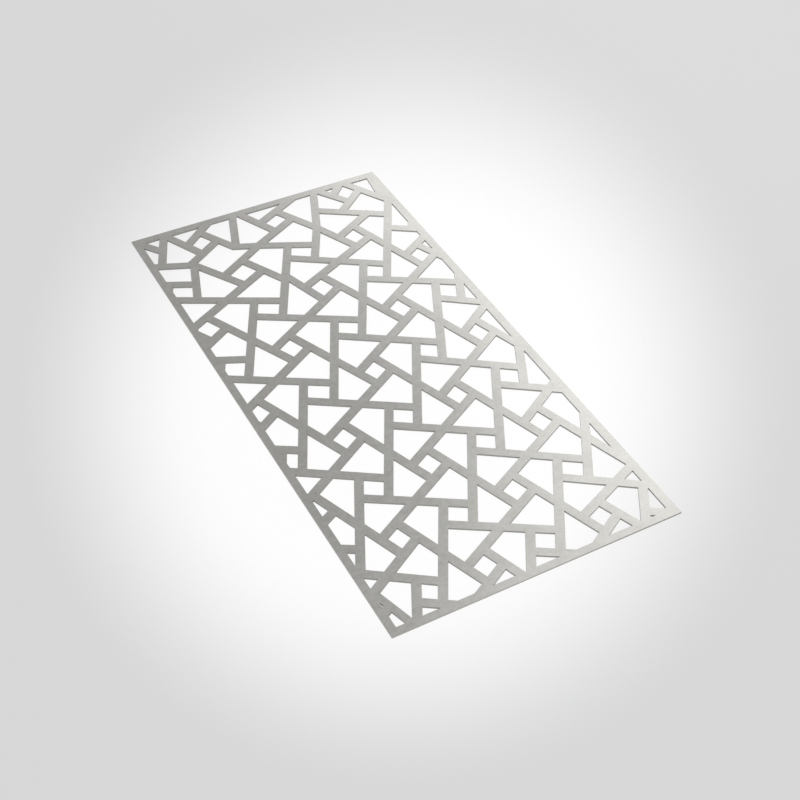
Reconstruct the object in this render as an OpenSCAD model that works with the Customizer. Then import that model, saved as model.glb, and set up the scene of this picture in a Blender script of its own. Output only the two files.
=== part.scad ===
// Laser cut metal screen: one flat sheet of metal, cut through with a lattice of straight bars.
// The sheet lies flat, underside on Z = 0, centred on X = 0 and Y = 0, head of the screen towards +Y.
// Places on the sheet are given as on a shop drawing: X from its left edge, Y down from its head.

/* [Sheet] */
// Width of the screen, left edge to right edge
panel_w = 900; // [700:10:1200]
// Length of the screen, head to foot
panel_l = 1800; // [1200:10:2400]
// Thickness of the metal
sheet_t = 6; // [3:0.5:12]

/* [Plain border] */
// Width of the border along the head
border_head = 27; // [15:1:60]
// Width of the border along the foot
border_foot = 23; // [15:1:60]
// Width of the border along the left edge
border_left = 24; // [15:1:60]
// Width of the border along the right edge
border_right = 28; // [15:1:60]

/* [Lattice] */
// Width of every lattice bar
bar_w = 27; // [16:0.5:36]
// Side of the square eye in the middle of each cell
eye = 53.5; // [40:0.5:70]
// How far the column lines bow to the right, half way down the sheet
column_bow = 18; // [0:1:30]
// How much lower than its row line a steep hub sits
steep_drop = 3.5; // [0:0.5:10]

/* [Column lines] */
// Where the first column line starts along the head, from the left edge
column_start_head = 173; // [140:1:200]
// Bays between the column lines along the head
column_bays_head = [220, 200, 181, 165]; // [150:1:260]
// Where the first column line ends along the foot, from the left edge
column_start_foot = 64; // [40:1:100]
// Bays between the column lines along the foot
column_bays_foot = [163, 181, 187, 192]; // [150:1:260]

/* [Row lines] */
// Where row line 1 starts along the left edge, down from the head
row_start_left = 411; // [400:1:440]
// Bays from row line 1 to row line 4 along the left edge
row_bays_left_upper = [213, 201, 204]; // [180:1:240]
// Bays from row line 4 to row line 8 along the left edge
row_bays_left_lower = [208, 194, 193, 183]; // [180:1:240]
// Where row line 1 ends along the right edge, down from the head
row_start_right = 387; // [365:1:405]
// Bays from row line 1 to row line 4 along the right edge
row_bays_right_upper = [189, 220, 213]; // [180:1:240]
// Bays from row line 4 to row line 8 along the right edge
row_bays_right_lower = [201, 210, 189, 199]; // [180:1:240]

/* [Hidden] */

row_bays_left = concat(row_bays_left_upper, row_bays_left_lower);
row_bays_right = concat(row_bays_right_upper, row_bays_right_lower);

// Each bar passes the middle of an eye at this distance
eye_offset = (eye + bar_w) / 2;

// A bar that ends in the border stops on the middle of it
head_stop = border_head / 2;
left_stop = border_left / 2;
right_stop = panel_w - border_right / 2;

// Column lines 0 to 4 and row lines 1 to 8 are given one by one
given_columns = len(column_bays_foot);
given_rows = len(row_bays_left) + 1;

// First and last column, and last row, whose bars can reach the sheet
first_column = -1;
last_column = given_columns + ceil(
    (panel_w - line_at(column_start_foot, column_bays_foot, given_columns))
        / column_bays_foot[given_columns - 1]
);
last_row = given_rows + ceil(
    (panel_l - line_at(row_start_left, row_bays_left, given_rows - 1)) / row_bays_left[given_rows - 2]
);

// Hubs drawn clear of where their lines cross: [column, row], [to the right, down].
// Most stand a few millimetres off their place, as in a lattice laid out by eye. It sags towards the
// right edge below row 4, and gives way at the two foot corners.
moved_hubs = [
    [[-1, 1], [-2, -3]],
    [[0, 1], [-2, 8]],
    [[1, 2], [-7, 0]],
    [[3, 2], [-6, 4]],
    [[3, 3], [-1, -5]],
    [[0, 4], [-2, 3]],
    [[2, 4], [3, -2]],
    [[-1, 5], [26, 1]],
    [[1, 5], [3, 1]],
    [[4, 5], [-4, 10]],
    [[0, 6], [0, 5]],
    [[2, 6], [1, -5]],
    [[4, 6], [1, 13]],
    [[5, 6], [28, 28]],
    [[-1, 7], [20, -21]],
    [[4, 7], [-6, 14]],
    [[5, 7], [-36, 34]],
    [[-1, 8], [-22, -7]],
    [[0, 8], [9, -8]],
    [[4, 8], [-7, -6]],
    [[5, 8], [-1, 33]]
];

// Bars turned off the heading that the eyes give them: [column, row], side, angle.
turned_bars = [
    [[0, 1], 1, 2.5],
    [[1, 1], 0, -2],
    [[2, 1], 0, 2.5],
    [[2, 1], 1, 3],
    [[-1, 2], 0, -4.5],
    [[0, 2], 0, -1.5],
    [[3, 2], 0, -2],
    [[4, 2], 1, -5],
    [[1, 3], 0, -1.5],
    [[0, 6], 1, -2.5],
    [[0, 7], 0, 2],
    [[0, 7], 1, -4],
    [[1, 7], 0, 1.5],
    [[1, 7], 1, -1.5],
    [[0, 8], 1, -0.5],
    [[1, 8], 1, -2],
    [[3, 8], 1, -4]
];

// One bar breaks at its hub, [column, row]: its lower arm sets off further right and steeper.
broken_hub = [1, 1];
broken_side = 1;
broken_arm = [378, 389];
broken_arm_foot = [435, 552];

// One bar runs on upwards from its hub, past the fourth peak, into the right border
run_on_hub = [3, 1];
run_on_side = 0;

// One bar is slimmer than the rest, and leaves a slit beside the left border near the foot
slim_hub = [0, 8];
slim_side = 1;
slim_by = 4.5;

// The head band: here the lattice breaks step, so its hubs and junctions are placed one by one.
// Hubs of row 0, from column -1 to column 4
head_hubs = [[-56, 223], [137, 204], [365, 204], [581, 203], [782, 201], [953, 186]];
// Headings of the falling bar and the rising bar that leave each of these hubs downwards
head_headings = [[25, -27], [109, 57.5], [25, -30.5], [118.5, 64], [32, -27.5], [118, 68]];

// First peak and the two bars that spread from it
peak_1 = [108, head_stop];
peak_1_left = [42, 165];
peak_1_right = [185, 162];
corner_strut = [73, 94];
left_strut = [left_stop, 154];
// Bars round the first eye
eye_1_left = [154, 102];
eye_1_rise = [268, head_stop];
eye_1_bottom = [122, 202];
eye_1_right = [252, 119];
eye_1_top = [219, 52];
// Knee, where the bar from the first eye turns towards the next hub
knee = [291, 174];
knee_rise = [355, head_stop];
knee_landing = [297, 178];
// Second peak and the bars round the second eye
peak_2 = [376, head_stop];
peak_2_right = [451, 161];
eye_2_left = [421, 96];
eye_2_rise = [584, head_stop];
eye_2_right = [527, 120];
eye_2_top = [497, 60];
// Third peak and the bars round the third eye
peak_3 = [661, head_stop];
shoulder = [672, head_stop];
shoulder_foot = [751, 126];
eye_3_left = [709, 67];
eye_3_rise = [764, head_stop];
eye_3_bottom = [694, 163];
eye_3_right = [809, 73];
peak_4 = [774, head_stop];
peak_4_right = [873, 174];
// Short bar that leans off the right border in the corner
corner_lean = [879, head_stop];
corner_lean_foot = [861, 150];
// The long falling bar from peak 3 and where it lands
fall_start = [618, 115];
fall_end = [831, 244];

// Place of line number i, when line 0 is at start; past either end the last bay repeats
function line_at(start, bays, i) =
    i <= 0 ? start + i * bays[0]
    : line_at(start, bays, i - 1) + bays[min(i, len(bays)) - 1];

// Whether a hub is one of those placed one by one
function in_head_band(i, k) = k == 0 && i >= first_column && i <= given_columns;

// How far a hub is drawn clear of where its lines cross
function moved(i, k) =
    let (found = [for (entry = moved_hubs) if (entry[0] == [i, k]) entry[1]])
    len(found) > 0 ? found[0] : [0, 0];

// Hub in column i and row k: where the two lines cross, moved by the bow of the columns
function hub(i, k) =
    in_head_band(i, k) ? head_hubs[i - first_column]
    : let (
        head_x = line_at(column_start_head, column_bays_head, i),
        foot_x = line_at(column_start_foot, column_bays_foot, i),
        left_y = line_at(row_start_left, row_bays_left, k - 1),
        right_y = line_at(row_start_right, row_bays_right, k - 1),
        lean = (foot_x - head_x) / panel_l,
        fall = (right_y - left_y) / panel_w,
        y = (left_y + fall * head_x) / (1 - fall * lean),
        down = y / panel_l,
        drop = is_flat(i, k) ? 0 : steep_drop
    )
    [head_x + lean * y + 4 * column_bow * down * (1 - down), y + drop] + moved(i, k);

// Middle of the cell between columns i and i + 1 and rows k and k + 1, where its eye sits
function cell(i, k) = (hub(i, k) + hub(i + 1, k) + hub(i, k + 1) + hub(i + 1, k + 1)) / 4;

// Hubs take turns: the two bars of a flat hub run across the sheet, those of a steep hub along it
function is_flat(i, k) = abs(i + k) % 2 == 1;

// Heading of the line from p to q
function bearing(p, q) = atan2(q[1] - p[1], q[0] - p[0]);

// Heading of a bar that passes the eyes at a and b, one on each side of it
function pass_heading(a, b, turn) = bearing(a, b) + turn * asin(2 * eye_offset / norm(b - a));

// How far a bar is turned off its own heading
function turned(i, k, side) =
    let (found = [for (entry = turned_bars) if (entry[0] == [i, k] && entry[1] == side) entry[2]])
    len(found) > 0 ? found[0] : 0;

// Heading of the falling bar (side 0) or the rising bar (side 1) of a hub
function heading(i, k, side) =
    in_head_band(i, k) ? head_headings[i - first_column][side]
    : turned(i, k, side)
        + (is_flat(i, k)
            ? (side == 0
                ? pass_heading(cell(i - 1, k - 1), cell(i, k), -1)
                : pass_heading(cell(i - 1, k), cell(i, k - 1), 1))
            : (side == 0
                ? pass_heading(cell(i, k - 1), cell(i - 1, k), -1)
                : pass_heading(cell(i - 1, k - 1), cell(i, k), 1)));

// Where the line through p at heading a meets the line through q at heading b
function meet(p, a, q, b) =
    let (u = [cos(a), sin(a)], v = [cos(b), sin(b)])
    p + u * cross(q - p, v) / cross(u, v);

// Where a bar of hub (i, k) stops: on the like bar of its neighbour (i + di, k + dk)
function stop_at(i, k, side, di, dk) =
    meet(hub(i, k), heading(i, k, side), hub(i + di, k + dk), heading(i + di, k + dk, side));

// The point on the line from p to q that lies a length past q
function past(p, q, length) = q + (q - p) / norm(q - p) * length;

// How far two bars run on past their corner at b, so that their outer edges meet
function mitre(a, b, c) = bar_w / 2 * tan(abs(bearing(b, c) - bearing(a, b)) / 2);

// One straight bar whose middle line runs from p to q
module bar(p, q, width = bar_w) {
    translate(p)
        rotate(bearing(p, q))
            translate([0, -width / 2])
                square([norm(q - p), width]);
}

// Whether a bar is the one that breaks at its hub
function is_broken(i, k, side) = [i, k] == broken_hub && side == broken_side;

// Upper end of a bar of hub (i, k): on its neighbour before, or in the right border if it runs on
function start_of(i, k, side, di, dk) =
    [i, k] == run_on_hub && side == run_on_side
        ? meet(hub(i, k), heading(i, k, side), [right_stop, 0], 90)
        : stop_at(i, k, side, -di, -dk);

// Width of a bar of hub (i, k)
function width_of(i, k, side) = bar_w - ([i, k] == slim_hub && side == slim_side ? slim_by : 0);

// The two bars of a hub, each from its neighbour before to its neighbour after
module hub_bars(i, k) {
    di = is_flat(i, k) ? 1 : 0;
    dk = 1 - di;
    for (side = [0, 1])
        bar(
            start_of(i, k, side, di, dk),
            is_broken(i, k, side) ? hub(i, k) : stop_at(i, k, side, di, dk),
            width_of(i, k, side)
        );
}

// The lattice that keeps step: row 1 down to the foot, and all rows to the right of the head band
module lattice() {
    for (k = [1 : last_row], i = [first_column : last_column])
        hub_bars(i, k);
    for (i = [given_columns : last_column])
        hub_bars(i, 0);
    for (i = [given_columns + 1 : last_column])
        hub_bars(i, -1);
    bar(broken_arm, broken_arm_foot);
}

// The lower arms of the hubs in the head band, which tie it to the lattice
module head_band_arms() {
    bar(hub(first_column, 0), stop_at(first_column, 0, 0, 1, 0));
    for (i = [0, 2], side = [0, 1])
        bar(hub(i, 0), stop_at(i, 0, side, 0, 1));
    for (i = [1, 3])
        bar(stop_at(i, 0, 1, -1, 0), hub(i, 0));
    bar(hub(1, 0), stop_at(1, 0, 0, 1, 0));
    bar(fall_start, fall_end);
}

// The bars above row 0
module head_band_bars() {
    turn = mitre(eye_1_top, knee, hub(1, 0));

    bar([left_stop, head_stop], corner_strut);
    bar(left_strut, hub(0, 0));
    bar(peak_1, peak_1_left);
    bar(peak_1, peak_1_right);

    bar(eye_1_left, eye_1_rise);
    bar(eye_1_bottom, eye_1_right);
    bar(eye_1_top, past(eye_1_top, knee, turn));
    bar(past(hub(1, 0), knee, turn), hub(1, 0));
    bar(knee_rise, knee_landing);

    bar(peak_2, peak_2_right);
    bar(eye_2_left, eye_2_rise);
    bar(hub(1, 0), eye_2_right);
    bar(hub(2, 0), eye_2_top);

    bar(hub(2, 0), peak_3);
    bar(shoulder, shoulder_foot);
    bar(eye_3_left, eye_3_rise);
    bar(eye_3_bottom, eye_3_right);
    bar(peak_4, peak_4_right);
    bar(corner_lean, corner_lean_foot);
}

// The outline of the sheet, less what the laser cuts out of the field inside the border
module cut_outline() {
    difference() {
        square([panel_w, panel_l]);
        difference() {
            translate([border_left, border_head])
                square([panel_w - border_left - border_right, panel_l - border_head - border_foot]);
            lattice();
            head_band_arms();
            head_band_bars();
        }
    }
}

module screen_panel() {
    color([0.69, 0.69, 0.68])
        translate([-panel_w / 2, panel_l / 2, 0])
            mirror([0, 1, 0])
                linear_extrude(sheet_t)
                    cut_outline();
}

screen_panel();
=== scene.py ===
"""Laser cut metal screen: a brushed stainless steel sheet, cut through with a lattice of straight bars.

The sheet keeps the outline, size and place of the CAD node. What is added is the finish: edges rounded by
deburring, a brushed grain on both faces, the ribbed wall that a laser leaves in the openings, and a
smoother outer wall whose lighter colour is painted highlight.
"""

import math

import bpy
from bpy.props import FloatProperty, FloatVectorProperty, IntProperty, PointerProperty
from bpy.types import Operator, Panel, PropertyGroup
from mathutils import Euler, Matrix, Vector
from mathutils.geometry import tessellate_polygon


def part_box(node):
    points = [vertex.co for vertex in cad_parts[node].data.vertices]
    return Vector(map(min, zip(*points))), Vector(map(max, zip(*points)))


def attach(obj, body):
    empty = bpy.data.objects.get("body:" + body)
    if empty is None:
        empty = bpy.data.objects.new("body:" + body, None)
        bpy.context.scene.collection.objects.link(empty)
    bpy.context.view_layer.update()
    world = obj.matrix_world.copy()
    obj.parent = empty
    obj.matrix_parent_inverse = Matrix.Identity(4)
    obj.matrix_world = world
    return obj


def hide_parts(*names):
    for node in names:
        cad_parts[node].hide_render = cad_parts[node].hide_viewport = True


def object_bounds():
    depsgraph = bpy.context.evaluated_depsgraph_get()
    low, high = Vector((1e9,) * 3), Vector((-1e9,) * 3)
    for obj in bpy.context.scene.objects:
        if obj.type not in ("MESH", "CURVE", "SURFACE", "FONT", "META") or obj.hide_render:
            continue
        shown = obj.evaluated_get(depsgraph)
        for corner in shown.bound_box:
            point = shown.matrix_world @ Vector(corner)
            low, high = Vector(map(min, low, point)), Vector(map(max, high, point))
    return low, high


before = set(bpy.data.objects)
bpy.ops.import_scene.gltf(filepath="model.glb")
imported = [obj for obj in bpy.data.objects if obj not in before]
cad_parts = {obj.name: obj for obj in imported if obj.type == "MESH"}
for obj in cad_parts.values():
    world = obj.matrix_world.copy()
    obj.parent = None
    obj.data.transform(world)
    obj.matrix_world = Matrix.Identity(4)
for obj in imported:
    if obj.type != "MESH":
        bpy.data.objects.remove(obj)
CAD_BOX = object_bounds()

bl_info = {
    "name": "Laser cut metal screen",
    "version": (1, 0, 0),
    "blender": (4, 5, 0),
    "location": "3D View > Sidebar > Screen",
    "description": "Dresses a flat laser cut screen as brushed stainless steel on a pale studio floor",
    "category": "Object",
}

SHEET_NODE = "screen_panel"
MILLIMETRE = 0.001
# the third material, on the outer wall, is lighter than the cut wall by painted highlight
BRUSHED, CUT, OUTER_HIGHLIGHTED = range(3)  # materials of the sheet, in their order
GRAIN_MAP = "Grain"  # UV map whose U runs along the brushed grain
SAME_PLACE_DIGITS = 7  # decimals of a metre in which two corners at one place agree
FACES_UP = 0.9  # least height of the unit normal of a top face
STRAIGHT = 1e-4  # sine of the largest turn that is no corner
ACROSS_GRAIN = 0.25  # of a full turn, from along the grain
SOFT_DETAIL = 2.0  # how many times soft marks split into finer ones
NOISE_LOW, NOISE_HIGH = 0.3, 0.7  # most values of a noise lie between these
# the marks' tone follows their relief: painted shade in the lowest, painted highlight on the highest
MARK_GROOVE_SHADE, MARK_RIDGE_HIGHLIGHT = 0.85, 1.1  # shade of the lowest and the highest marks in a wall
MARK_RELIEF = 0.5  # share of their depth at which the marks in a wall tilt its reflection
SENSOR_WIDTH = 36  # millimetres


def srgb(hex_colour):
    """Linear red, green and blue of an sRGB colour written as '#rrggbb'."""
    channels = [int(hex_colour[i : i + 2], 16) / 255 for i in (1, 3, 5)]
    return [c / 12.92 if c <= 0.04045 else ((c + 0.055) / 1.055) ** 2.4 for c in channels]


def colour_property(name, description, hex_colour):
    return FloatVectorProperty(
        name=name, description=description, default=srgb(hex_colour), subtype="COLOR", min=0, max=1
    )


def length_property(name, description, millimetres):
    return FloatProperty(
        name=name, description=description, default=millimetres * MILLIMETRE, min=0, unit="LENGTH"
    )


def share_property(name, description, share):
    return FloatProperty(name=name, description=description, default=share, min=0, max=1, subtype="FACTOR")


def place_property(name, description, place):
    return FloatVectorProperty(
        name=name, description=description, default=place, subtype="TRANSLATION", unit="LENGTH"
    )


def size_property(name, description, size):
    return FloatVectorProperty(
        name=name, description=description, default=size, size=2, min=0, unit="LENGTH"
    )


def angle_property(name, description, angle):
    return FloatProperty(name=name, description=description, default=angle, subtype="ANGLE")


class SheetSettings(PropertyGroup):
    """How the sheet's edges, faces and walls are finished."""

    edge_radius: length_property("Edge radius", "How far deburring rounds the cut edges", 0.3)
    edge_steps: IntProperty(name="Edge steps", description="Flats across a rounded edge", default=2, min=1)
    face_colour: colour_property("Face", "Brushed stainless steel", "#BAB9B5")
    face_roughness: share_property("Face roughness", "Spread of the brushed reflection", 0.37)
    roughness_change: share_property("Roughness change", "How far a stroke changes that spread", 0.04)
    face_anisotropy: share_property("Face anisotropy", "How much wider it spreads across the grain", 0.72)
    grain_length: length_property("Grain length", "Length of a brush stroke, along the short side", 21)
    grain_width: length_property("Grain width", "Distance between brush strokes", 18)
    grain_detail: FloatProperty(
        name="Grain detail", description="How many times the strokes split into finer ones", default=5, min=0
    )
    grain_sharpness: share_property("Grain sharpness", "Strength of the finer strokes", 0.9)
    grain_contrast: share_property("Grain contrast", "How far the grain lightens and darkens the face", 0.182)
    grain_depth: length_property("Grain depth", "Depth of a brush stroke as drawn", 0.1)
    grain_relief: share_property("Grain relief", "Share of that depth that tilts the reflection", 0.15)
    cloud_size: length_property("Cloud size", "Size of the soft light and dark patches", 130)
    cloud_share: share_property("Cloud share", "Share of the patches in the contrast", 0.26)
    cut_colour: colour_property("Cut edge", "Wall that the laser leaves", "#A2A09C")
    cut_roughness: share_property("Cut edge roughness", "Dullness of the cut wall", 0.55)
    rib_pitch: length_property("Rib pitch", "Distance between the ribs in the cut wall", 0.35)
    rib_height: length_property("Rib height", "Height over which a rib keeps its shape", 6.5)
    rib_depth: length_property("Rib depth", "Depth of the ribs", 0.05)
    # Lighter than the cut edge: a painted highlight on the outer wall
    outer_highlight_colour: colour_property("Outer edge", "Outer wall, lighter than the cut wall by painted highlight", "#B2B0AC")
    outer_roughness: share_property("Outer edge roughness", "Dullness of the outer wall", 0.45)
    stroke_pitch: length_property("Stroke pitch", "Distance between the strokes on the outer wall", 0.4)
    stroke_length: length_property("Stroke length", "Length of the strokes on the outer wall", 20)
    stroke_depth: length_property("Stroke depth", "Depth of the strokes on the outer wall", 0.01)


class StageSettings(PropertyGroup):
    """The floor, the lights and the camera."""

    floor_size: length_property("Floor size", "Side of the floor", 24_000)
    floor_gap: length_property("Floor gap", "How far the floor lies below the sheet", 0.1)
    # White of the painted pool of light round the screen
    painted_pool_colour: colour_property("Painted pool", "Floor under and around the screen", "#FFFFFF")
    floor_far: colour_property("Floor rim", "Floor far from the screen", "#D9D9D9")
    floor_shade: share_property("Floor shade", "Share of the floor that takes shadows", 0.06)
    fade_start: FloatProperty(
        name="Fade start",
        description="Where the floor starts to turn grey, as distance off the aim over distance away",
        default=0.131,
    )
    fade_end: FloatProperty(
        name="Fade end", description="Where the floor is wholly grey, in the same measure", default=0.2925
    )
    room_level: FloatProperty(name="Room light", description="Strength of the room's light", default=0.70)
    room_slope: FloatProperty(
        name="Room slope",
        description="How much weaker the room's light is on the screen's right",
        default=0.5,
    )
    side_level: FloatProperty(name="Side softbox", description="Radiance of the large softbox", default=1.28)
    side_place: place_property("Side place", "Middle of the large softbox", (2.10, 3.38, 1.11))
    side_size: size_property("Side size", "Width and length of the large softbox", (3.07, 6.85))
    side_turn: angle_property("Side turn", "Of the large softbox about the vertical", 0.16)
    foot_level: FloatProperty(name="Foot softbox", description="Radiance of the small softbox", default=0.96)
    foot_place: place_property("Foot place", "Middle of the small softbox", (0.93, -0.70, 1.64))
    foot_size: size_property("Foot size", "Width and length of the small softbox", (2.81, 1.51))
    foot_turn: angle_property("Foot turn", "Of the small softbox about the vertical", 0.87)
    camera_place: place_property("Camera", "Place of the camera", (-1.493, -2.679, 2.8235))
    camera_aim: place_property("Aim", "Point in the middle of the picture", (-0.0223, -0.1635, 0.006))
    camera_roll: angle_property("Roll", "Tilt of the camera about its own axis", math.radians(2.18))
    camera_lens: FloatProperty(
        name="Focal length", description="Focal length of the lens", default=62.12, unit="CAMERA"
    )


# Outline of the sheet, from the CAD node


def top_outlines(node):
    """Closed outlines of the node's top face, as lists of 2D points with the metal on their left."""
    mesh = node.data
    key_of = {}
    places = []
    index_of = []
    for vertex in mesh.vertices:
        key = tuple(round(value, SAME_PLACE_DIGITS) for value in vertex.co)
        if key not in key_of:
            key_of[key] = len(places)
            places.append(vertex.co.copy())
        index_of.append(key_of[key])
    edges = set()
    for polygon in mesh.polygons:
        if polygon.normal.z > FACES_UP:
            corners = [index_of[i] for i in polygon.vertices]
            edges.update(zip(corners, corners[1:] + corners[:1]))
    following = {a: b for a, b in edges if (b, a) not in edges}
    outlines = []
    while following:
        start = min(following)
        outline = [start]
        at = following.pop(start)
        while at != start:
            outline.append(at)
            at = following.pop(at)
        outlines.append([places[i].xy for i in outline])
    return [without_straight_points(outline) for outline in outlines]


def directions_at(outline, i):
    """Unit vectors of the sides that end and start at point i of an outline."""
    before = (outline[i] - outline[i - 1]).normalized()
    after = (outline[(i + 1) % len(outline)] - outline[i]).normalized()
    return before, after


def without_straight_points(outline):
    """The outline with only the points at which it turns."""
    kept = []
    for i, point in enumerate(outline):
        before, after = directions_at(outline, i)
        if abs(before.cross(after)) > STRAIGHT:
            kept.append(point)
    return kept


def moved_into_metal(outline, distance):
    """The outline with each side moved to its left by a distance, and its corners kept sharp."""
    moved = []
    for i, point in enumerate(outline):
        before, after = directions_at(outline, i)
        left_before = Vector((-before.y, before.x))
        left_after = Vector((-after.y, after.x))
        moved.append(point + (left_before + left_after) * (distance / (1 + left_before.dot(left_after))))
    return moved


def encloses_metal(outline):
    """Whether the outline is the sheet's outer one, and not that of an opening."""
    return sum(outline[i - 1].cross(point) for i, point in enumerate(outline)) > 0


# Mesh of the sheet


def wall_profile(thickness, radius, steps):
    """How far each ring of the wall lies in the metal and how high, from the underside to the top."""
    lower = []
    for i in range(steps + 1):
        angle = math.radians(90) * i / steps
        lower.append((radius * (1 - math.sin(angle)), radius * (1 - math.cos(angle))))
    upper = [(inset, thickness - height) for inset, height in reversed(lower)]
    return lower + upper


def sheet_mesh(name, outlines, floor_z, thickness, radius, steps):
    """The sheet as one closed mesh: two flat faces, and round every outline a wall with rounded edges."""
    profile = wall_profile(thickness, radius, steps)
    vertices = []
    faces = []
    for outline in outlines:
        add_wall(vertices, faces, outline, profile, floor_z)
    add_flats(vertices, faces, outlines, profile)
    mesh = bpy.data.meshes.new(name)
    mesh.from_pydata(vertices, [], [corners for corners, material, smooth in faces])
    mesh.polygons.foreach_set("material_index", [material for corners, material, smooth in faces])
    mesh.polygons.foreach_set("use_smooth", [smooth for corners, material, smooth in faces])
    mesh.validate()
    mesh.update()
    add_grain_map(mesh)
    return mesh


def add_wall(vertices, faces, outline, profile, floor_z):
    """Add the wall round one outline. A face is its corners, its material and whether it is smooth."""
    # The outer wall takes the lighter steel, whose extra lightness is painted highlight
    wall_material = OUTER_HIGHLIGHTED if encloses_metal(outline) else CUT
    wall_ring = len(profile) // 2 - 1
    count = len(outline)
    first = len(vertices)
    for inset, height in profile:
        for point in moved_into_metal(outline, inset):
            vertices.append((point.x, point.y, floor_z + height))
    for ring in range(len(profile) - 1):
        is_wall = ring == wall_ring
        material = wall_material if is_wall else BRUSHED
        low = first + ring * count
        high = low + count
        for i in range(count):
            j = (i + 1) % count
            faces.append(((low + i, high + i, high + j, low + j), material, not is_wall))


def add_flats(vertices, faces, outlines, profile):
    """Add the underside and the top, between the lowest and the highest rings of the walls."""
    under = []
    top = []
    lowest = 0
    for outline in outlines:
        count = len(outline)
        highest = lowest + (len(profile) - 1) * count
        under += range(lowest, lowest + count)
        top += range(highest, highest + count)
        lowest = highest + count
    loops = []
    for outline in outlines:
        loops.append([point.to_3d() for point in moved_into_metal(outline, profile[0][0])])
    for triangle in tessellate_polygon(loops):
        for rings, looks_up in ((under, False), (top, True)):
            corners = [rings[i] for i in triangle]
            a, b, c = (Vector(vertices[i]).xy for i in corners)
            if ((b - a).cross(c - a) > 0) != looks_up:
                corners.reverse()
            faces.append((tuple(corners), BRUSHED, False))


def add_grain_map(mesh):
    """A UV map in metres: across and up the sheet on brushed faces, along and up the walls on walls."""
    layer = mesh.uv_layers.new(name=GRAIN_MAP)
    for polygon in mesh.polygons:
        is_wall = polygon.material_index != BRUSHED
        along = Vector((-polygon.normal.y, polygon.normal.x, 0))
        for loop in polygon.loop_indices:
            place = mesh.vertices[mesh.loops[loop].vertex_index].co
            layer.data[loop].uv = (place.dot(along), place.z) if is_wall else (place.x, place.y)


# Materials


def new_material(name):
    """A material with one Principled shader, and that shader."""
    material = bpy.data.materials.new(name)
    material.use_nodes = True
    return material, material.node_tree.nodes["Principled BSDF"]


def add_node(tree, kind, inputs=None, **settings):
    """Add a node, set what is given and link an input whose value is another node's output."""
    node = tree.nodes.new(kind)
    for name, value in settings.items():
        setattr(node, name, value)
    for name, value in (inputs or {}).items():
        if isinstance(value, bpy.types.NodeSocket):
            tree.links.new(value, node.inputs[name])
        else:
            node.inputs[name].default_value = value
    return node


def brushed_stainless_steel(settings):
    """Stainless steel sheet, satin brushed along its short side on a belt.

    To the eye: soft grey-white, warm by a hair, with reflections drawn out across the strokes. The strokes
    are about 0.1 mm apart on the real sheet, too fine to show, so they are drawn 18 mm apart. Under them lie
    wide soft patches where the belt pressed more or less.
    """
    material, shader = new_material("Brushed stainless steel")
    tree = material.node_tree
    place = add_node(tree, "ShaderNodeTexCoord").outputs["Object"]
    stretched = add_node(
        tree,
        "ShaderNodeMapping",
        {"Vector": place, "Scale": (1 / settings.grain_length, 1 / settings.grain_width, 1)},
    )
    strokes = add_node(
        tree,
        "ShaderNodeTexNoise",
        {
            "Vector": stretched.outputs["Vector"],
            "Scale": 1.0,
            "Detail": settings.grain_detail,
            "Roughness": settings.grain_sharpness,
        },
    )
    patches = add_node(
        tree,
        "ShaderNodeTexNoise",
        {"Vector": place, "Scale": 1 / settings.cloud_size, "Detail": SOFT_DETAIL},
    )
    both = add_node(
        tree,
        "ShaderNodeMix",
        {"Factor": settings.cloud_share, "A": strokes.outputs["Fac"], "B": patches.outputs["Fac"]},
    )
    shade = add_node(
        tree,
        "ShaderNodeMapRange",
        {
            "Value": both.outputs["Result"],
            "From Min": NOISE_LOW,
            "From Max": NOISE_HIGH,
            "To Min": 1 - settings.grain_contrast,
            "To Max": 1 + settings.grain_contrast,
        },
    )
    colour = add_node(
        tree,
        "ShaderNodeMix",
        {"Factor": 1.0, "A": (*settings.face_colour, 1), "B": shade.outputs["Result"]},
        data_type="RGBA",
        blend_type="MULTIPLY",
    )
    roughness = add_node(
        tree,
        "ShaderNodeMapRange",
        {
            "Value": strokes.outputs["Fac"],
            "From Min": NOISE_LOW,
            "From Max": NOISE_HIGH,
            "To Min": settings.face_roughness - settings.roughness_change,
            "To Max": settings.face_roughness + settings.roughness_change,
        },
    )
    bump = add_node(
        tree,
        "ShaderNodeBump",
        {
            "Height": strokes.outputs["Fac"],
            "Strength": settings.grain_relief,
            "Distance": settings.grain_depth,
        },
    )
    tangent = add_node(tree, "ShaderNodeTangent", direction_type="UV_MAP", uv_map=GRAIN_MAP)
    tree.links.new(colour.outputs["Result"], shader.inputs["Base Color"])
    tree.links.new(roughness.outputs["Result"], shader.inputs["Roughness"])
    tree.links.new(bump.outputs["Normal"], shader.inputs["Normal"])
    tree.links.new(tangent.outputs["Tangent"], shader.inputs["Tangent"])
    shader.inputs["Metallic"].default_value = 1.0
    shader.inputs["Anisotropic"].default_value = settings.face_anisotropy
    shader.inputs["Anisotropic Rotation"].default_value = ACROSS_GRAIN
    return material


def laser_cut_steel(settings):
    """The wall that a laser leaves when it cuts stainless steel sheet.

    To the eye: a dull, darker grey with fine ribs that run straight through the sheet.
    """
    return marked_steel(
        "Laser cut stainless steel edge",
        settings.cut_colour,
        settings.cut_roughness,
        (settings.rib_pitch, settings.rib_pitch, settings.rib_height),
        settings.rib_depth,
    )


def outer_wall_painted_highlight_steel(settings):
    """The outer wall of the sheet, smoother than the cut walls.

    To the eye: a satin grey, lighter than the cut walls by painted highlight, with fine strokes along the
    edge.
    """
    # The lighter outer colour is painted highlight
    return marked_steel(
        "Belt smoothed stainless steel edge",
        settings.outer_highlight_colour,
        settings.outer_roughness,
        (settings.stroke_length, settings.stroke_length, settings.stroke_pitch),
        settings.stroke_depth,
    )


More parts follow.
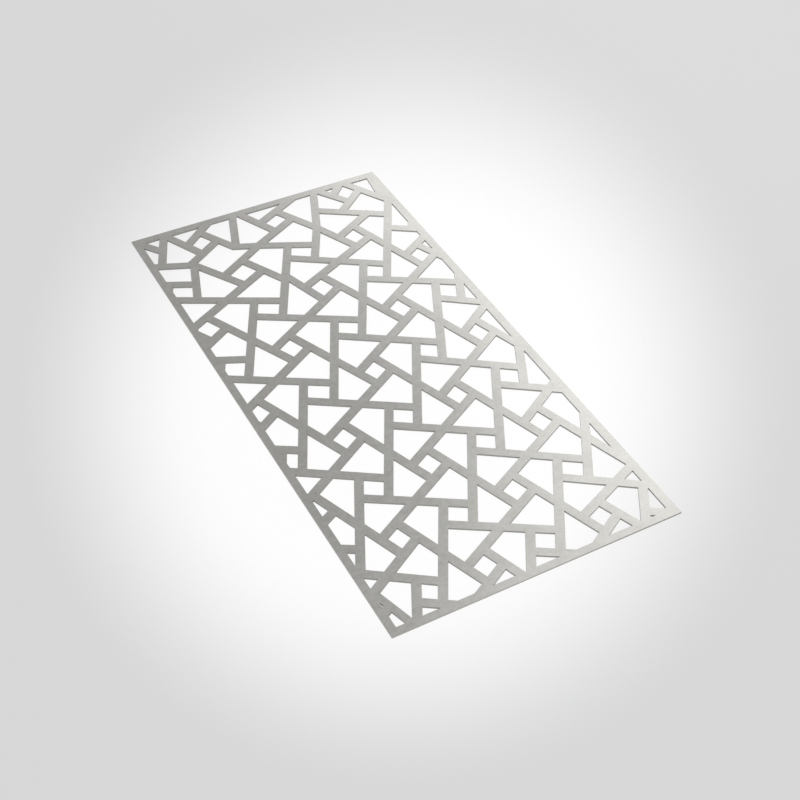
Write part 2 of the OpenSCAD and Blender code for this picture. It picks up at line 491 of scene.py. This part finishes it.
def marked_steel(name, colour, roughness, mark_size, mark_depth):
    """Bare steel with marks of a size along X, Y and Z, whose tone varies at random and follows their relief:
    painted shade in the grooves and painted highlight where they stand out.
    """
    material, shader = new_material(name)
    tree = material.node_tree
    place = add_node(tree, "ShaderNodeTexCoord").outputs["Object"]
    stretched = add_node(
        tree, "ShaderNodeMapping", {"Vector": place, "Scale": [1 / length for length in mark_size]}
    )
    marks = add_node(
        tree,
        "ShaderNodeTexNoise",
        {"Vector": stretched.outputs["Vector"], "Scale": 1.0, "Detail": SOFT_DETAIL},
    )
    # Tone from the marks' own height, darker low and lighter high: painted shade and highlight of the relief
    shade = add_node(
        tree,
        "ShaderNodeMapRange",
        {
            "Value": marks.outputs["Fac"],
            "From Min": NOISE_LOW,
            "From Max": NOISE_HIGH,
            "To Min": MARK_GROOVE_SHADE,
            "To Max": MARK_RIDGE_HIGHLIGHT,
        },
    )
    shaded = add_node(
        tree,
        "ShaderNodeMix",
        {"Factor": 1.0, "A": (*colour, 1), "B": shade.outputs["Result"]},
        data_type="RGBA",
        blend_type="MULTIPLY",
    )
    bump = add_node(
        tree,
        "ShaderNodeBump",
        {"Height": marks.outputs["Fac"], "Strength": MARK_RELIEF, "Distance": mark_depth},
    )
    tree.links.new(shaded.outputs["Result"], shader.inputs["Base Color"])
    tree.links.new(bump.outputs["Normal"], shader.inputs["Normal"])
    shader.inputs["Metallic"].default_value = 1.0
    shader.inputs["Roughness"].default_value = roughness
    return material


def floor_with_painted_pool(settings, gaze):
    """Matt white paint with a painted pool of light that fades to pale grey away from the screen.

    To the eye: plain white round the screen, with hardly a shadow, and an even grey farther off. The painted
    pool is round to the camera, as a place's distance off the line of sight is divided by its distance away.
    """
    material = bpy.data.materials.new("Matt white paint")
    material.use_nodes = True
    tree = material.node_tree
    tree.nodes.clear()
    dip = gaze.normalized()
    place = add_node(tree, "ShaderNodeTexCoord").outputs["Object"]
    seen = add_node(tree, "ShaderNodeMapping", {"Vector": place, "Scale": (1, -dip.z, 0)})
    width = add_node(tree, "ShaderNodeVectorMath", {0: seen.outputs["Vector"]}, operation="LENGTH")
    away = add_node(tree, "ShaderNodeSeparateXYZ", {"Vector": place})
    depth = add_node(
        tree,
        "ShaderNodeMath",
        {0: away.outputs["Y"], 1: math.hypot(dip.x, dip.y), 2: gaze.length},
        operation="MULTIPLY_ADD",
    )
    spread = add_node(
        tree, "ShaderNodeMath", {0: width.outputs["Value"], 1: depth.outputs["Value"]}, operation="DIVIDE"
    )
    fade = add_node(
        tree,
        "ShaderNodeMapRange",
        {
            "Value": spread.outputs["Value"],
            "From Min": settings.fade_start,
            "From Max": settings.fade_end,
        },
        interpolation_type="SMOOTHSTEP",
    )
    # Painted pool of light: white near the aim, fading to the pale grey rim farther off
    colour = add_node(
        tree,
        "ShaderNodeMix",
        {"Factor": fade.outputs["Result"], "A": (*settings.painted_pool_colour, 1), "B": (*settings.floor_far, 1)},
        data_type="RGBA",
    )
    matt = add_node(tree, "ShaderNodeBsdfDiffuse", {"Color": colour.outputs["Result"]})
    glow = add_node(tree, "ShaderNodeEmission", {"Color": colour.outputs["Result"], "Strength": 1.0})
    ray = add_node(tree, "ShaderNodeLightPath")
    seen_or_mirrored = add_node(
        tree,
        "ShaderNodeMath",
        {0: ray.outputs["Is Camera Ray"], 1: ray.outputs["Is Glossy Ray"]},
        operation="MAXIMUM",
    )
    share = add_node(
        tree,
        "ShaderNodeMath",
        {0: seen_or_mirrored.outputs["Value"], 1: 1 - settings.floor_shade},
        operation="MULTIPLY",
    )
    both = add_node(
        tree,
        "ShaderNodeMixShader",
        {0: share.outputs["Value"], 1: matt.outputs["BSDF"], 2: glow.outputs["Emission"]},
    )
    add_node(tree, "ShaderNodeOutputMaterial", {"Surface": both.outputs["Shader"]})
    return material


# Operators


class SCREEN_OT_build_sheet(Operator):
    """Build the brushed sheet with its rounded cut edges in place of the plain CAD sheet"""

    bl_idname = "lattice_screen.build_sheet"
    bl_label = "Build the sheet"
    bl_options = {"REGISTER", "UNDO"}

    def execute(self, context):
        settings = context.scene.screen_sheet
        low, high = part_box(SHEET_NODE)
        mesh = sheet_mesh(
            "lattice_sheet",
            top_outlines(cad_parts[SHEET_NODE]),
            low.z,
            high.z - low.z,
            settings.edge_radius,
            settings.edge_steps,
        )
        for finish in (brushed_stainless_steel, laser_cut_steel, outer_wall_painted_highlight_steel):
            mesh.materials.append(finish(settings))
        sheet = bpy.data.objects.new("lattice_sheet", mesh)
        context.scene.collection.objects.link(sheet)
        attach(sheet, "root")
        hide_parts(SHEET_NODE)
        return {"FINISHED"}


class SCREEN_OT_build_stage(Operator):
    """Lay the floor, light it and place the camera"""

    bl_idname = "lattice_screen.build_stage"
    bl_label = "Build the stage"
    bl_options = {"REGISTER", "UNDO"}

    def execute(self, context):
        settings = context.scene.screen_stage
        add_camera(context.scene, settings)
        add_floor(context.scene, settings)
        add_room_light(context.scene, settings)
        for name in ("side", "foot"):
            add_softbox(context.scene, settings, name)
        context.scene.view_settings.view_transform = "Standard"
        return {"FINISHED"}


def add_camera(scene, settings):
    """The camera, aimed and then rolled about its line of sight."""
    camera = bpy.data.objects.new("Camera", bpy.data.cameras.new("Camera"))
    camera.data.sensor_width = SENSOR_WIDTH
    camera.data.lens = settings.camera_lens
    place = Vector(settings.camera_place)
    gaze = (Vector(settings.camera_aim) - place).to_track_quat("-Z", "Y")
    turn = gaze.to_matrix().to_4x4() @ Matrix.Rotation(settings.camera_roll, 4, "Z")
    camera.matrix_world = Matrix.Translation(place) @ turn
    scene.collection.objects.link(camera)
    scene.camera = camera


def add_floor(scene, settings):
    """A square floor whose own Y runs away from the camera, with its middle under the camera's aim."""
    gaze = Vector(settings.camera_aim) - Vector(settings.camera_place)
    half = settings.floor_size / 2
    corners = [(-half, -half, 0), (half, -half, 0), (half, half, 0), (-half, half, 0)]
    mesh = bpy.data.meshes.new("floor")
    mesh.from_pydata(corners, [], [(0, 1, 2, 3)])
    mesh.materials.append(floor_with_painted_pool(settings, gaze))
    floor = bpy.data.objects.new("floor", mesh)
    floor.location = (settings.camera_aim[0], settings.camera_aim[1], CAD_BOX[0].z - settings.floor_gap)
    floor.rotation_euler = Euler((0, 0, -math.atan2(gaze.x, gaze.y)))
    scene.collection.objects.link(floor)


def add_room_light(scene, settings):
    """Light from all round, weaker from the right, and pale grey where the camera sees past the floor."""
    world = bpy.data.worlds.new("Room")
    world.use_nodes = True
    tree = world.node_tree
    tree.nodes.clear()
    ray = add_node(tree, "ShaderNodeLightPath")
    from_middle = add_node(tree, "ShaderNodeTexCoord").outputs["Generated"]
    direction = add_node(tree, "ShaderNodeSeparateXYZ", {"Vector": from_middle})
    rightward = add_node(tree, "ShaderNodeMath", {0: direction.outputs["X"], 1: 0.0}, operation="MAXIMUM")
    level = add_node(
        tree,
        "ShaderNodeMath",
        {0: rightward.outputs["Value"], 1: -settings.room_slope, 2: settings.room_level},
        operation="MULTIPLY_ADD",
    )
    light = add_node(
        tree, "ShaderNodeBackground", {"Color": (1, 1, 1, 1), "Strength": level.outputs["Value"]}
    )
    seen = add_node(tree, "ShaderNodeBackground", {"Color": (*settings.floor_far, 1), "Strength": 1.0})
    both = add_node(
        tree,
        "ShaderNodeMixShader",
        {0: ray.outputs["Is Camera Ray"], 1: light.outputs["Background"], 2: seen.outputs["Background"]},
    )
    add_node(tree, "ShaderNodeOutputWorld", {"Surface": both.outputs["Shader"]})
    scene.world = world


def add_softbox(scene, settings, name):
    """A level softbox that shines straight down."""
    width, length = getattr(settings, name + "_size")
    lamp = bpy.data.lights.new(name + " softbox", "AREA")
    lamp.shape = "RECTANGLE"
    lamp.size = width
    lamp.size_y = length
    lamp.energy = getattr(settings, name + "_level") * width * length * math.pi
    softbox = bpy.data.objects.new(name + " softbox", lamp)
    softbox.location = getattr(settings, name + "_place")
    softbox.rotation_euler = Euler((0, 0, getattr(settings, name + "_turn")))
    scene.collection.objects.link(softbox)


class VIEW3D_PT_lattice_screen(Panel):
    """Sizes and finishes of the screen, and the buttons that build it"""

    bl_label = "Laser cut screen"
    bl_space_type = "VIEW_3D"
    bl_region_type = "UI"
    bl_category = "Screen"

    def draw(self, context):
        groups_and_operators = (
            (context.scene.screen_sheet, SCREEN_OT_build_sheet),
            (context.scene.screen_stage, SCREEN_OT_build_stage),
        )
        for group, operator in groups_and_operators:
            box = self.layout.box()
            for name in group.bl_rna.properties.keys():
                if name not in ("rna_type", "name"):
                    box.prop(group, name)
            box.operator(operator.bl_idname)


CLASSES = (
    SheetSettings,
    StageSettings,
    SCREEN_OT_build_sheet,
    SCREEN_OT_build_stage,
    VIEW3D_PT_lattice_screen,
)


def register():
    for cls in CLASSES:
        bpy.utils.register_class(cls)
    bpy.types.Scene.screen_sheet = PointerProperty(type=SheetSettings)
    bpy.types.Scene.screen_stage = PointerProperty(type=StageSettings)


def unregister():
    del bpy.types.Scene.screen_stage
    del bpy.types.Scene.screen_sheet
    for cls in reversed(CLASSES):
        bpy.utils.unregister_class(cls)


def main():
    register()
    bpy.ops.lattice_screen.build_sheet()
    bpy.ops.lattice_screen.build_stage()


if __name__ == "__main__":
    main()
